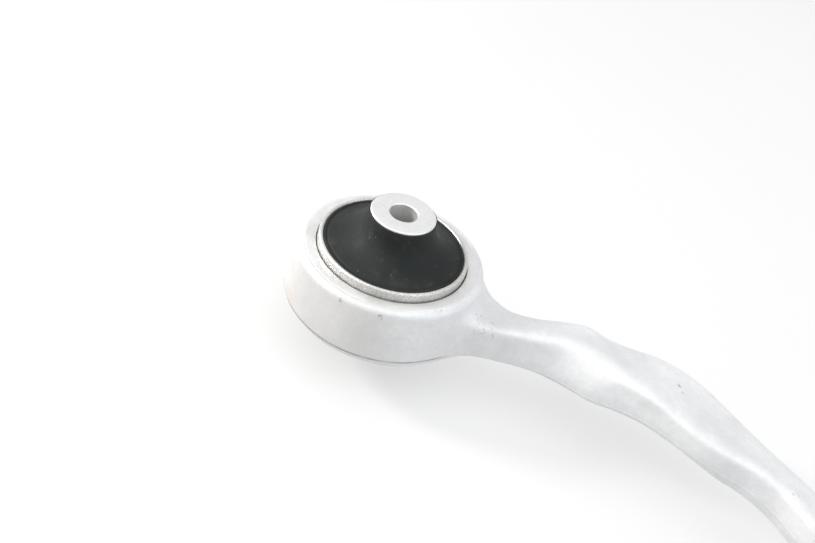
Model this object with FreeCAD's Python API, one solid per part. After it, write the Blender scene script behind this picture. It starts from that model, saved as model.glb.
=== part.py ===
"""Forged front control arm with a hydraulic bush at one end and a ball joint at the other.

Millimetres. The origin is the centre of the bush on its bolt axis, +Z runs along that axis,
and +X points at the ball joint. Both ends rest on the plane Z = -BUSH_HALF.
"""
import math
import os

import FreeCAD
import Part

V = FreeCAD.Vector

# Ring head of the forging
HEAD_TOP_R = 41.2
HEAD_PARTING_R = 42.9
HEAD_PARTING_Z = -9.8
HEAD_LOW_R = 38.6
HEAD_HALF = 15.5
HEAD_BORE_R = 33.0
HEAD_TOP_ROUND = 3.0
BORE_CHAMFER = 0.5

# Hydraulic bush
BUSH_HALF = 36.0
BOLT_R = 6.1
FACE_R = 14.2
WAIST_R = 11.5
SLEEVE_R = 32.98
SLEEVE_WALL = 2.0
SLEEVE_TOP = 19.3
SLEEVE_BOTTOM = -18.9
CAGE_R = 29.4
CAGE_INNER_R = 27.5
CAGE_HALF = 15.5
WINDOW_HEIGHT = 15.0
WINDOW_WIDTH = 34.0
CHANNEL_INNER_R = 29.45
CHANNEL_OUTER_R = 30.95
CHANNEL_HALF = 9.0
GROOVE_HEIGHT = 5.0
GROOVE_DEPTH = 0.9
STOP_INNER_R = 11.9
STOP_R = 16.0
STOP_LOBE_X = 21.0
STOP_HALF = 7.5
WEB_WIDTH = 15.0
WEB_INNER_R = 17.0

# Ball joint
BALL_X = 320.0
BALL_Z = -17.0
BALL_R = 15.0
HOUSING_R = 23.0
HOUSING_TOP = 11.0
HOUSING_BOTTOM = -18.6
COLLAR_R = 19.0
COLLAR_TOP = 16.0
COLLAR_GROOVE_R = 17.6
SEAT_R = 17.2
SEAT_BOTTOM = -13.0
SEAT_MOUTH_DEG = 54.0
CAP_R = 19.5
CAP_TOP = -16.05
CAP_EDGE = 1.8
CAP_BOTTOM = -19.0
NECK_R = 6.5
SHANK_R = 9.0
TAPER_START_R = 8.4
TAPER_LENGTH = 17.0
THREAD_R = 7.0
NUT_WIDTH = 21.0
NUT_HEIGHT = 11.0

# Stations along the bar, each a closed section in a plane X = constant:
# x, front parting line (y, z), crest (y, z), back edge (y, z), underside z, undercut,
# sag of the top behind the crest, hollow of the front face
STATIONS = [
    (21.0, -30.0, -11.5, -24.0, 8.5, 27.0, 6.0, -13.5, 3.0, 0.0, 0.0),
    (27.0, -27.5, -11.5, -22.0, 8.5, 28.5, 6.0, -13.5, 3.0, 0.0, 0.0),
    (33.0, -22.0, -11.5, -17.0, 8.5, 28.5, 5.5, -13.3, 4.0, 0.0, 0.0),
    (39.0, -13.5, -11.3, -9.0, 8.0, 26.5, 4.5, -13.0, 4.0, 0.0, 0.0),
    (45.0, -5.5, -11.0, -2.5, 7.0, 25.0, 4.0, -12.8, 4.5, 0.0, 0.0),
    (52.0, 0.0, -10.4, 3.0, 6.0, 25.0, 3.5, -12.5, 5.0, 0.3, -0.3),
    (62.0, 5.5, -9.9, 9.5, 6.5, 30.0, 3.5, -12.5, 5.5, 0.3, 0.0),
    (72.0, 10.0, -9.3, 17.0, 7.3, 38.0, 4.0, -12.5, 6.0, 0.0, 0.3),
    (82.0, 12.5, -8.9, 22.5, 9.0, 43.5, 5.0, -12.5, 6.0, 0.0, -1.0),
    (92.0, 13.5, -8.4, 25.0, 9.6, 43.5, 5.0, -12.5, 6.0, 0.0, -2.5),
    (102.0, 13.5, -7.4, 25.5, 9.3, 48.0, 4.0, -12.4, 6.5, 1.0, -2.3),
    (112.0, 16.0, -6.0, 24.0, 8.8, 54.0, 3.0, -12.2, 6.5, 1.0, -0.3),
    (124.0, 17.5, -4.4, 22.5, 8.3, 56.0, 3.0, -12.0, 6.5, 0.5, 0.6),
    (136.0, 17.5, -4.0, 21.5, 7.0, 55.0, 2.5, -12.0, 6.0, 0.5, 0.2),
    (148.0, 17.0, -4.0, 21.0, 6.0, 51.5, 2.0, -12.0, 5.0, 0.5, -0.3),
    (160.0, 17.5, -4.5, 22.0, 5.5, 48.0, 1.0, -12.3, 3.5, 0.5, -0.5),
    (172.0, 19.5, -5.5, 23.5, 5.0, 45.0, 0.0, -12.8, 2.5, 0.5, -0.5),
    (184.0, 18.3, -6.5, 23.5, 4.0, 43.0, -1.5, -13.5, 2.0, 0.5, -0.5),
    (198.0, 12.5, -8.0, 20.0, 3.0, 40.5, -3.0, -14.4, 2.0, 0.5, -0.5),
    (214.0, 7.2, -9.5, 15.0, 1.0, 37.5, -4.5, -15.8, 2.0, 0.5, -0.5),
    (232.0, 2.5, -11.0, 10.0, -1.0, 32.5, -6.0, -18.0, 2.0, 0.5, -0.5),
    (252.0, -3.0, -13.0, 4.6, -3.0, 25.0, -7.5, -21.4, 2.0, 0.5, -0.5),
    (272.0, -8.0, -15.5, -0.5, -4.5, 18.5, -8.5, -25.3, 2.5, 0.3, -0.5),
    (290.0, -11.5, -18.5, -4.5, -6.0, 15.5, -8.5, -29.0, 3.0, 0.3, 0.0),
    (306.0, -15.0, -20.5, -8.0, -7.0, 16.0, -8.5, -31.5, 3.0, 0.0, 0.0),
]


def station_points(station):
    """Control points of one section, counted from the front parting line, underside first."""
    x, front_y, front_z, crest_y, crest_z, back_y, back_z, under_z, undercut, sag, hollow = station
    drop = front_z - under_z
    span = back_y - crest_y
    fall = crest_z - back_z
    lead = min(0.16 * span, 0.45 * (crest_y - front_y))
    return [
        V(x, front_y, front_z),
        V(x, front_y + 0.8 * undercut, front_z - 0.55 * drop),
        V(x, front_y + 1.6 * undercut, under_z),
        V(x, 0.5 * (front_y + back_y), under_z + 0.3),
        V(x, back_y - 3.5, under_z),
        V(x, back_y - 0.5, back_z - 0.6 * (back_z - under_z)),
        V(x, back_y + 0.3, back_z - 3.0),
        V(x, back_y - 0.5, back_z + 0.2),
        V(x, back_y - 0.30 * span, back_z + 0.35 * fall),
        V(x, crest_y + 0.40 * span, crest_z - 0.32 * fall - sag),
        V(x, crest_y + 0.12 * span, crest_z + 0.3),
        V(x, crest_y - lead, crest_z - 0.9),
        V(x, front_y + 0.45 * (crest_y - front_y) + hollow, front_z + 0.60 * (crest_z - front_z)),
    ]


def closed_spline(points):
    """Closed cubic curve drawn by its control points."""
    count = len(points)
    curve = Part.BSplineCurve()
    knots = [float(k) for k in range(count + 1)]
    curve.buildFromPolesMultsKnots(points, [1] * (count + 1), knots, True, 3)
    return Part.Wire([curve.toShape()])


def turned(profile, x=0.0, z=0.0):
    """Solid of revolution about a vertical axis through x, from (radius, height) points."""
    corners = [V(x + r, 0, z + h) for r, h in profile]
    face = Part.Face(Part.makePolygon(corners + corners[:1]))
    solid = face.revolve(V(x, 0, 0), V(0, 0, 1), 360)
    if solid.Volume < 0:
        solid.reverse()
    return solid


def tube(outer, inner, low, high, x=0.0, z=0.0):
    """Plain ring between two heights."""
    return turned([(inner, low), (outer, low), (outer, high), (inner, high)], x, z)


def ring_edges(shape, radius, height, x=0.0):
    """Full circular edges of one radius and height about the axis at x."""
    found = []
    for edge in shape.Edges:
        curve = edge.Curve
        if not isinstance(curve, Part.Circle):
            continue
        centre = curve.Center
        on_axis = abs(centre.x - x) < 0.01 and abs(centre.y) < 0.01
        if on_axis and abs(curve.Radius - radius) < 0.01 and abs(centre.z - height) < 0.01:
            found.append(edge)
    return found


def arc_profile(radius, start_deg, end_deg, steps):
    """(radius, height) points on a sphere about the origin, angles from the vertical."""
    points = []
    for step in range(steps + 1):
        angle = math.radians(start_deg + (end_deg - start_deg) * step / steps)
        points.append((radius * math.sin(angle), radius * math.cos(angle)))
    return points


def hex_prism(width, height, x, z):
    """Hexagonal prism of a given width across flats."""
    corner = width / math.sqrt(3)
    corners = []
    for side in range(6):
        angle = math.radians(60 * side)
        corners.append(V(x + corner * math.cos(angle), corner * math.sin(angle), z))
    face = Part.Face(Part.makePolygon(corners + corners[:1]))
    return face.extrude(V(0, 0, height))


# Forging: ring head, bar and ball joint housing
head = turned([(0, -HEAD_HALF), (HEAD_LOW_R, -HEAD_HALF), (HEAD_PARTING_R, HEAD_PARTING_Z),
               (HEAD_TOP_R, HEAD_HALF), (0, HEAD_HALF)])
head = head.makeFillet(HEAD_TOP_ROUND, ring_edges(head, HEAD_TOP_R, HEAD_HALF))
bar = Part.makeLoft([closed_spline(station_points(s)) for s in STATIONS], True, False)
housing = Part.makeCylinder(HOUSING_R, HOUSING_TOP - HOUSING_BOTTOM,
                            V(BALL_X, 0, BALL_Z + HOUSING_BOTTOM))
housing = housing.makeFillet(3.0, ring_edges(housing, HOUSING_R, BALL_Z + HOUSING_TOP, BALL_X))
housing = housing.makeFillet(2.5, ring_edges(housing, HOUSING_R, BALL_Z + HOUSING_BOTTOM, BALL_X))
collar = turned([(0, HOUSING_TOP - 1), (COLLAR_R, HOUSING_TOP - 1), (COLLAR_R, HOUSING_TOP + 0.4),
                 (COLLAR_GROOVE_R, HOUSING_TOP + 0.4), (COLLAR_GROOVE_R, COLLAR_TOP - 1.2),
                 (COLLAR_R, COLLAR_TOP - 1.2), (COLLAR_R, COLLAR_TOP - 0.4),
                 (COLLAR_R - 0.4, COLLAR_TOP), (0, COLLAR_TOP)], BALL_X, BALL_Z)
seat_mouth = arc_profile(SEAT_R, 90, SEAT_MOUTH_DEG, 8)
mouth_r, mouth_h = seat_mouth[-1]
cavity = turned([(0, HOUSING_BOTTOM - 1), (18.0, HOUSING_BOTTOM - 1), (18.0, CAP_TOP - CAP_EDGE - 0.05),
                 (CAP_R + 0.1, CAP_TOP - CAP_EDGE - 0.05), (CAP_R + 0.1, CAP_TOP + 0.05),
                 (SEAT_R + 0.05, CAP_TOP + 0.05), (SEAT_R + 0.05, 0)]
                + [(r + 0.05, h + 0.05) for r, h in seat_mouth]
                + [(16.2, COLLAR_TOP + 1), (0, COLLAR_TOP + 1)], BALL_X, BALL_Z)
arm = head.fuse([bar, housing, collar])
arm = arm.cut(Part.makeCylinder(HEAD_BORE_R, 4 * HEAD_HALF, V(0, 0, -2 * HEAD_HALF)))
arm = arm.cut(cavity)
for side in (1, -1):
    top = side * HEAD_HALF
    arm = arm.cut(turned([(0, top - side * 0.001), (HEAD_BORE_R, top - side * BORE_CHAMFER),
                          (HEAD_BORE_R + BORE_CHAMFER, top), (HEAD_BORE_R + BORE_CHAMFER, top + side),
                          (0, top + side)]))
arm = arm.removeSplitter()

# Hydraulic bush, all turned about the bolt axis
sleeve_inner = SLEEVE_R - SLEEVE_WALL
outer_sleeve = turned([(sleeve_inner, SLEEVE_BOTTOM), (SLEEVE_R - 0.8, SLEEVE_BOTTOM),
                       (SLEEVE_R, SLEEVE_BOTTOM + 1.0), (SLEEVE_R, SLEEVE_TOP),
                       (sleeve_inner, SLEEVE_TOP)])
outer_sleeve = outer_sleeve.makeFillet(1.1, ring_edges(outer_sleeve, SLEEVE_R, SLEEVE_TOP))
outer_sleeve = outer_sleeve.makeFillet(0.6, ring_edges(outer_sleeve, sleeve_inner, SLEEVE_TOP))

inner_half = [(BOLT_R, BUSH_HALF), (FACE_R, BUSH_HALF), (FACE_R, BUSH_HALF - 2.5),
              (13.0, 31.5), (WAIST_R, 27.0)]
inner_sleeve = turned(inner_half + [(r, -h) for r, h in reversed(inner_half)])
for end in (BUSH_HALF, -BUSH_HALF):
    inner_sleeve = inner_sleeve.makeChamfer(0.4, ring_edges(inner_sleeve, FACE_R, end))
    inner_sleeve = inner_sleeve.makeChamfer(0.4, ring_edges(inner_sleeve, BOLT_R, end))

CONE = [(WAIST_R, 27.0), (13.0, 31.5), (FACE_R, 33.5), (FACE_R, 35.2), (14.8, 35.0), (15.2, 33.2),
        (15.8, 31.0), (16.7, 28.5),
        (18.2, 26.0), (20.6, 23.4), (23.4, 21.2), (26.6, 19.4), (29.6, 18.6), (30.9, 18.4),
        (30.9, 15.6), (27.4, 15.6), (27.4, 9.5), (24.0, 10.0), (18.0, 11.5), (14.5, 11.5),
        (13.0, 9.5), (WAIST_R, 9.5)]
upper = turned(CONE)
lower = turned([(r, -h) for r, h in CONE])
webs = tube(27.4, WEB_INNER_R, -11.0, 11.0)
webs = webs.common(Part.makeBox(WEB_WIDTH, 80, 30, V(-WEB_WIDTH / 2, -40, -15)))
rubber = upper.fuse([lower, webs]).removeSplitter()

cage = tube(CAGE_R, CAGE_INNER_R, -CAGE_HALF, CAGE_HALF)
cage = cage.cut(Part.makeBox(80, WINDOW_WIDTH, WINDOW_HEIGHT,
                             V(-40, -WINDOW_WIDTH / 2, -WINDOW_HEIGHT / 2)))
for z in (-11.5, 11.5):
    for hole in range(8):
        angle = math.radians(22.5 + 45 * hole)
        drill = Part.makeCylinder(1.6, 10, V(24 * math.cos(angle), 24 * math.sin(angle), z),
                                  V(math.cos(angle), math.sin(angle), 0))
        cage = cage.cut(drill)

channel = tube(CHANNEL_OUTER_R, CHANNEL_INNER_R, -CHANNEL_HALF, CHANNEL_HALF)
groove = tube(CHANNEL_OUTER_R + 1, CHANNEL_OUTER_R - GROOVE_DEPTH, 1.0, 1.0 + GROOVE_HEIGHT)
groove = groove.fuse(groove.translated(V(0, 0, -2.0 - GROOVE_HEIGHT)))
land = Part.makeBox(6, 80, 40, V(-3, -40, -20))
channel = channel.cut(groove.cut(land))
half_a = channel.common(Part.makeBox(80, 40, 40, V(-40, 0.15, -20)))
half_b = channel.common(Part.makeBox(80, 40, 40, V(-40, -40.15, -20)))
ports = Part.makeCylinder(1.6, 40, V(20, 0, 0), V(1, 0, 0))
ports_back = Part.makeCylinder(1.6, 40, V(-20, 0, 0), V(-1, 0, 0))
half_a = half_a.cut(ports).cut(ports_back)
half_b = half_b.cut(ports).cut(ports_back)

stop = Part.makeCylinder(STOP_R, 2 * STOP_HALF, V(0, 0, -STOP_HALF))
lobes = Part.makeCylinder(STOP_LOBE_X, 2 * STOP_HALF, V(0, 0, -STOP_HALF))
lobes = lobes.common(Part.makeBox(60, 20, 30, V(-30, -10, -15)))
stop = stop.fuse(lobes)
stop = stop.cut(Part.makeCylinder(STOP_INNER_R, 30, V(0, 0, -15))).removeSplitter()

# Ball joint, all turned about the stud axis at rest
ball = Part.makeSphere(BALL_R, V(BALL_X, 0, BALL_Z))

seat_outer = [(SEAT_R, SEAT_BOTTOM), (SEAT_R, 0)] + seat_mouth[1:]
mouth_inner = (BALL_R + 0.03) * math.sin(math.radians(SEAT_MOUTH_DEG))
seat_body = turned([(0, SEAT_BOTTOM)] + seat_outer + [(0, mouth_h)], BALL_X, BALL_Z)
seat = seat_body.cut(Part.makeSphere(BALL_R + 0.03, V(BALL_X, 0, BALL_Z)))
seat = seat.cut(turned([(0, 0), (mouth_inner, 8.0), (mouth_inner + 1.5, 12.0), (0, 12.0)],
                       BALL_X, BALL_Z))
for slot in range(4):
    cut = Part.makeBox(3 * BALL_R, 1.5, 7.0, V(BALL_X, -0.75, BALL_Z + SEAT_BOTTOM - 1))
    cut.rotate(V(BALL_X, 0, 0), V(0, 0, 1), 45 + 90 * slot)
    seat = seat.cut(cut)

support = tube(SEAT_R - 0.1, 9.0, CAP_TOP + 0.05, SEAT_BOTTOM - 0.05, BALL_X, BALL_Z)
cap = turned([(0, CAP_TOP), (CAP_R, CAP_TOP), (CAP_R, CAP_TOP - CAP_EDGE),
              (17.5, CAP_TOP - CAP_EDGE), (16.0, CAP_BOTTOM), (6.0, CAP_BOTTOM),
              (5.0, CAP_BOTTOM + 0.6), (0, CAP_BOTTOM + 0.6)], BALL_X, BALL_Z)

FOOT_R = BALL_R + 0.02
foot = [(r, h) for r, h in arc_profile(FOOT_R, 0, 26, 6)]
THREAD_START = 36.0 + TAPER_LENGTH + 1.0
STUD_TOP = 76.0
stud = turned(foot + [(NECK_R, 14.6), (NECK_R, 22.0), (SHANK_R, 28.0), (SHANK_R, 35.5),
                      (TAPER_START_R, 36.0), (TAPER_START_R - TAPER_LENGTH / 20, 36.0 + TAPER_LENGTH),
                      (THREAD_R - 0.9, 36.0 + TAPER_LENGTH + 0.5), (THREAD_R - 0.9, THREAD_START),
                      (THREAD_R, THREAD_START + 0.9), (THREAD_R, STUD_TOP - 1.2),
                      (THREAD_R - 1.2, STUD_TOP), (0, STUD_TOP)], BALL_X, BALL_Z)
stud = stud.cut(hex_prism(6.0, 6.0, BALL_X, BALL_Z + STUD_TOP - 5.0))

NUT_BOTTOM = 59.0
nut = hex_prism(NUT_WIDTH, NUT_HEIGHT, BALL_X, BALL_Z + NUT_BOTTOM)
corner_r = NUT_WIDTH / math.sqrt(3)
nut = nut.common(turned([(0, NUT_BOTTOM), (NUT_WIDTH / 2 - 0.2, NUT_BOTTOM),
                         (corner_r + 0.1, NUT_BOTTOM + 1.2),
                         (corner_r + 0.1, NUT_BOTTOM + NUT_HEIGHT - 1.2),
                         (NUT_WIDTH / 2 - 0.2, NUT_BOTTOM + NUT_HEIGHT), (0, NUT_BOTTOM + NUT_HEIGHT)],
                        BALL_X, BALL_Z))
nut = nut.fuse(tube(9.6, THREAD_R + 0.03, NUT_BOTTOM + NUT_HEIGHT - 0.5,
                    NUT_BOTTOM + NUT_HEIGHT + 3.2, BALL_X, BALL_Z))
nut = nut.fuse(turned([(8.0, NUT_BOTTOM - 1.4), (13.5, NUT_BOTTOM - 1.4), (13.5, NUT_BOTTOM - 0.6),
                       (11.0, NUT_BOTTOM + 1.0), (8.0, NUT_BOTTOM + 1.0)], BALL_X, BALL_Z))
nut = nut.cut(Part.makeCylinder(THREAD_R + 0.03, 30, V(BALL_X, 0, BALL_Z + NUT_BOTTOM - 5)))
nut = nut.cut(tube(8.6, THREAD_R, NUT_BOTTOM + NUT_HEIGHT + 0.2, NUT_BOTTOM + NUT_HEIGHT + 2.6,
                   BALL_X, BALL_Z)).removeSplitter()
nylon = tube(8.55, THREAD_R + 0.03, NUT_BOTTOM + NUT_HEIGHT + 0.25, NUT_BOTTOM + NUT_HEIGHT + 2.55,
             BALL_X, BALL_Z)

BOOT = [(COLLAR_GROOVE_R + 0.05, 11.5), (COLLAR_GROOVE_R + 0.05, 14.7), (19.3, 14.7), (19.9, 16.2),
        (21.2, 17.0), (21.7, 18.6), (20.9, 20.8), (18.8, 23.0), (15.8, 25.4), (13.4, 27.6),
        (11.6, 29.6), (9.7, 30.6), (9.7, 35.0), (12.0, 35.2), (12.0, 34.4), (11.2, 33.8),
        (11.2, 32.4), (12.4, 31.6), (13.4, 30.4), (15.0, 28.6), (17.4, 26.6), (20.4, 24.2),
        (22.8, 21.4), (23.6, 18.6), (23.0, 16.0), (21.2, 13.8), (20.4, 13.4), (20.4, 12.0),
        (21.0, 11.5)]
boot = turned(BOOT, BALL_X, BALL_Z)
boot_lower = tube(21.2, 20.45, 12.1, 13.3, BALL_X, BALL_Z)
boot_upper = turned([(11.25, 32.5), (12.0, 32.5), (12.3, 33.1), (12.0, 33.7), (11.25, 33.7)],
                    BALL_X, BALL_Z)
seal_ring = turned([(SHANK_R + 0.03, 30.8), (9.65, 30.8), (9.65, 35.3), (11.0, 35.5), (11.0, 36.2),
                    (SHANK_R + 0.03, 36.2)], BALL_X, BALL_Z)

PARTS = {
    "arm_forging": arm,
    "bush_outer_sleeve": outer_sleeve,
    "bush_inner_sleeve": inner_sleeve,
    "bush_rubber": rubber,
    "bush_cage": cage,
    "channel_ring_half_a": half_a,
    "channel_ring_half_b": half_b,
    "bush_travel_stop": stop,
    "stud_ball": ball,
    "bearing_seat": seat,
    "seat_support_ring": support,
    "closure_cap": cap,
    "ball_stud": stud,
    "lock_nut": nut,
    "nut_nylon_ring": nylon,
    "dust_boot": boot,
    "boot_lower_ring": boot_lower,
    "boot_upper_ring": boot_upper,
    "stud_seal_ring": seal_ring,
}

os.makedirs("parts", exist_ok=True)
for name, shape in PARTS.items():
    shape.exportStep("parts/" + name + ".step")
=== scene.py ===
"""Looks for the control arm, in metres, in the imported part's own frame."""
import math

import bmesh
import bpy
import numpy as np
from mathutils import Matrix, Vector


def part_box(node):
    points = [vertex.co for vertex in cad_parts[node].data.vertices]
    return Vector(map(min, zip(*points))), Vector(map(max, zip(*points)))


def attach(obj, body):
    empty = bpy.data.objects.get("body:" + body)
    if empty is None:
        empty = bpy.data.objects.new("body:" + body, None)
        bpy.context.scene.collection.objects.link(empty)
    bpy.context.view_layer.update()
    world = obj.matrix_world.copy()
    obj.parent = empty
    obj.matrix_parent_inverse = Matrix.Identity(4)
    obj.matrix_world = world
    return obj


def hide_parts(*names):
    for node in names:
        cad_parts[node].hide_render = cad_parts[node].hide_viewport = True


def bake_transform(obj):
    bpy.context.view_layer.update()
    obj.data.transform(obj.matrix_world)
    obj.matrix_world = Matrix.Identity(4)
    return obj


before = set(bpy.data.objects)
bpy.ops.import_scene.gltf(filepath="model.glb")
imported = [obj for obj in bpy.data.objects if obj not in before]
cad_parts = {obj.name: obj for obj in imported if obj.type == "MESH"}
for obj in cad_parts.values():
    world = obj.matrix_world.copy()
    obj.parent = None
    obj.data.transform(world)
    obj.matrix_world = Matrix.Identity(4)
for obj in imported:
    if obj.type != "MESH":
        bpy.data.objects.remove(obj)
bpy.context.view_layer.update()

MM = 0.001
SEGMENTS = 160

# ---------------------------------------------------------------- places taken from the frame
sleeve_low, sleeve_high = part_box("bush_inner_sleeve")
FLOOR = sleeve_low.z
BUSH_HALF = sleeve_high.z / MM
ball_low, ball_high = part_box("stud_ball")
BALL = (ball_low + ball_high) / 2
BALL_X = BALL.x / MM
BALL_Z = BALL.z / MM

# ---------------------------------------------------------------- mesh helpers


def link(mesh, name):
    """Put a mesh in the scene as an object."""
    obj = bpy.data.objects.new(name, mesh)
    bpy.context.scene.collection.objects.link(obj)
    return obj


def finish_mesh(bm, name, crease_deg=38.0):
    """Smooth shading with sharp edges where faces meet at more than crease_deg."""
    bmesh.ops.recalc_face_normals(bm, faces=bm.faces)
    limit = math.radians(crease_deg)
    for face in bm.faces:
        face.smooth = True
    for edge in bm.edges:
        edge.smooth = len(edge.link_faces) == 2 and edge.calc_face_angle(0.0) < limit
    mesh = bpy.data.meshes.new(name)
    bm.to_mesh(mesh)
    bm.free()
    return link(mesh, name)


def soften(profile, radius, steps=4, skip=()):
    """Round the corners of a closed (radius, height) profile."""
    out = []
    count = len(profile)
    for i, corner in enumerate(profile):
        here = np.array(corner, float)
        before = np.array(profile[i - 1], float) - here
        after = np.array(profile[(i + 1) % count], float) - here
        cut = min(radius, 0.45 * np.linalg.norm(before), 0.45 * np.linalg.norm(after))
        if i in skip or here[0] < 1e-6 or cut < 1e-3:
            out.append(tuple(here))
            continue
        start = here + before / np.linalg.norm(before) * cut
        end = here + after / np.linalg.norm(after) * cut
        for k in range(steps + 1):
            t = k / steps
            point = start * (1 - t) ** 2 + here * 2 * t * (1 - t) + end * t * t
            out.append(tuple(point))
    return out


def smooth_path(points, per_span=6, closed=False):
    """Catmull-Rom curve through (radius, height) points."""
    pts = [np.array(p, float) for p in points]
    count = len(pts)
    spans = count if closed else count - 1
    out = []
    for i in range(spans):
        p1 = pts[i]
        p2 = pts[(i + 1) % count]
        p0 = pts[i - 1] if closed or i > 0 else 2 * p1 - p2
        p3 = pts[(i + 2) % count] if closed or i + 2 < count else 2 * p2 - p1
        for k in range(per_span):
            t = k / per_span
            out.append(0.5 * (2 * p1 + (p2 - p0) * t + (2 * p0 - 5 * p1 + 4 * p2 - p3) * t * t
                              + (3 * p1 - p0 - 3 * p2 + p3) * t ** 3))
    if not closed:
        out.append(pts[-1])
    return [tuple(p) for p in out]


def lathe(name, profile, x=0.0, z=0.0, segments=SEGMENTS, ripple=None, crease_deg=38.0):
    """Closed ring turned from a profile in millimetres about the vertical axis at x, z."""
    bm = bmesh.new()
    rings = []
    for k in range(segments):
        angle = 2 * math.pi * k / segments
        ring = []
        for r, h in profile:
            if ripple:
                r, h = ripple(r, h, angle)
            ring.append(bm.verts.new(((x + r * math.cos(angle)) * MM, r * math.sin(angle) * MM,
                                      (z + h) * MM)))
        rings.append(ring)
    count = len(profile)
    for k in range(segments):
        here, there = rings[k], rings[(k + 1) % segments]
        for i in range(count):
            j = (i + 1) % count
            bm.faces.new((here[i], there[i], there[j], here[j]))
    bmesh.ops.remove_doubles(bm, verts=bm.verts, dist=1e-7)
    bmesh.ops.dissolve_degenerate(bm, dist=1e-7, edges=bm.edges)
    return finish_mesh(bm, name, crease_deg)


# ---------------------------------------------------------------- materials


class Nodes:
    """Short hand for building one material's node tree."""

    def __init__(self, name):
        self.material = bpy.data.materials.new(name)
        self.material.use_nodes = True
        self.tree = self.material.node_tree
        self.shader = self.tree.nodes["Principled BSDF"]
        self.coords = self.add("ShaderNodeTexCoord").outputs["Object"]

    def add(self, kind, **settings):
        node = self.tree.nodes.new(kind)
        for key, value in settings.items():
            setattr(node, key, value)
        return node

    def join(self, source, target):
        self.tree.links.new(source, target)

    def set(self, **values):
        for key, value in values.items():
            self.shader.inputs[key.replace("_", " ")].default_value = value

    def noise(self, scale, detail=4.0, roughness=0.55, stretch=None, distortion=0.0):
        node = self.add("ShaderNodeTexNoise")
        node.inputs["Scale"].default_value = scale
        node.inputs["Detail"].default_value = detail
        node.inputs["Roughness"].default_value = roughness
        node.inputs["Distortion"].default_value = distortion
        source = self.coords
        if stretch:
            mapping = self.add("ShaderNodeMapping")
            mapping.inputs["Scale"].default_value = stretch
            self.join(self.coords, mapping.inputs["Vector"])
            source = mapping.outputs["Vector"]
        self.join(source, node.inputs["Vector"])
        return node.outputs["Fac"]

    def spread(self, value, low, high, to_low=0.0, to_high=1.0):
        node = self.add("ShaderNodeMapRange")
        for key, number in zip(("From Min", "From Max", "To Min", "To Max"),
                               (low, high, to_low, to_high)):
            node.inputs[key].default_value = number
        self.join(value, node.inputs["Value"])
        return node.outputs["Result"]

    def mix(self, factor, first, second):
        """Blend two colours (tuples or sockets) by a factor socket."""
        node = self.add("ShaderNodeMix", data_type="RGBA")
        self.join(factor, node.inputs["Factor"])
        for key, value in (("A", first), ("B", second)):
            socket = [s for s in node.inputs if s.name == key and s.type == "RGBA"][0]
            if isinstance(value, tuple):
                socket.default_value = (*value, 1.0)
            else:
                self.join(value, socket)
        return [s for s in node.outputs if s.type == "RGBA"][0]

    def math(self, operation, first, second=None, third=None):
        node = self.add("ShaderNodeMath", operation=operation)
        for socket, value in zip(node.inputs, (first, second, third)):
            if value is None:
                continue
            if isinstance(value, (int, float)):
                socket.default_value = value
            else:
                self.join(value, socket)
        return node.outputs[0]

    def near(self, place, radius):
        """1 close to a point in the row frame, in millimetres, 0 away from it."""
        node = self.add("ShaderNodeVectorMath", operation="DISTANCE")
        self.join(self.coords, node.inputs[0])
        node.inputs[1].default_value = [c * MM for c in place]
        return self.spread(node.outputs["Value"], radius * MM, 0.55 * radius * MM)

    def radius(self, x=0.0):
        """Distance from the vertical axis at x millimetres."""
        split = self.add("ShaderNodeSeparateXYZ")
        self.join(self.coords, split.inputs[0])
        across = self.math("SUBTRACT", split.outputs["X"], x * MM)
        return self.math("SQRT", self.math("ADD", self.math("MULTIPLY", across, across),
                                           self.math("MULTIPLY", split.outputs["Y"],
                                                     split.outputs["Y"])))

    def height(self):
        split = self.add("ShaderNodeSeparateXYZ")
        self.join(self.coords, split.inputs[0])
        return split.outputs["Z"]

    def bump(self, *layers):
        """Stack (height socket, strength, distance) layers into the shader's normal."""
        previous = None
        for value, strength, distance in layers:
            node = self.add("ShaderNodeBump")
            node.inputs["Strength"].default_value = strength
            node.inputs["Distance"].default_value = distance
            self.join(value, node.inputs["Height"])
            if previous:
                self.join(previous, node.inputs["Normal"])
            previous = node.outputs["Normal"]
        self.join(previous, self.shader.inputs["Normal"])


def metal(name, light, dark, rough=(0.35, 0.5), patch=60.0, grain=2500.0, bump=0.25,
          rings_at=None, ring_pitch=0.35, ring_bump=0.22):
    """Bare metal with patchy tone, fine grain and, if turned, faint tool marks about an axis."""
    n = Nodes(name)
    n.set(Metallic=1.0)
    tone = n.noise(patch, 5.0, 0.6)
    n.join(n.mix(n.spread(tone, 0.35, 0.65), dark, light), n.shader.inputs["Base Color"])
    fine = n.noise(grain, 3.0, 0.6)
    n.join(n.spread(n.noise(patch * 2.3, 4.0), 0.3, 0.7, rough[0], rough[1]),
           n.shader.inputs["Roughness"])
    layers = [(fine, bump, 0.0002)]
    if rings_at is not None:
        wave = n.math("SINE", n.math("MULTIPLY", n.radius(rings_at), 2 * math.pi / (ring_pitch * MM)))
        turns = n.math("SINE", n.math("MULTIPLY", n.height(), 2 * math.pi / (ring_pitch * MM)))
        layers.append((n.math("ADD", wave, turns), ring_bump, 0.00006))
    n.bump(*layers)
    return n.material


FORGED_LIGHT = (0.75, 0.755, 0.765)
FORGED_DARK = (0.67, 0.675, 0.68)
FORGED_MOTTLE = (0.60, 0.605, 0.61)
# Colour of the painted shade on the head's front-left wall
FORGED_PAINTED_SHADE = (0.56, 0.545, 0.52)
STAIN_TONE = (0.58, 0.49, 0.40)
FLECK_TONE = (0.16, 0.17, 0.19)
NICK_TONE = (0.13, 0.14, 0.16)
SEAM_TONE = (0.28, 0.27, 0.25)
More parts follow.
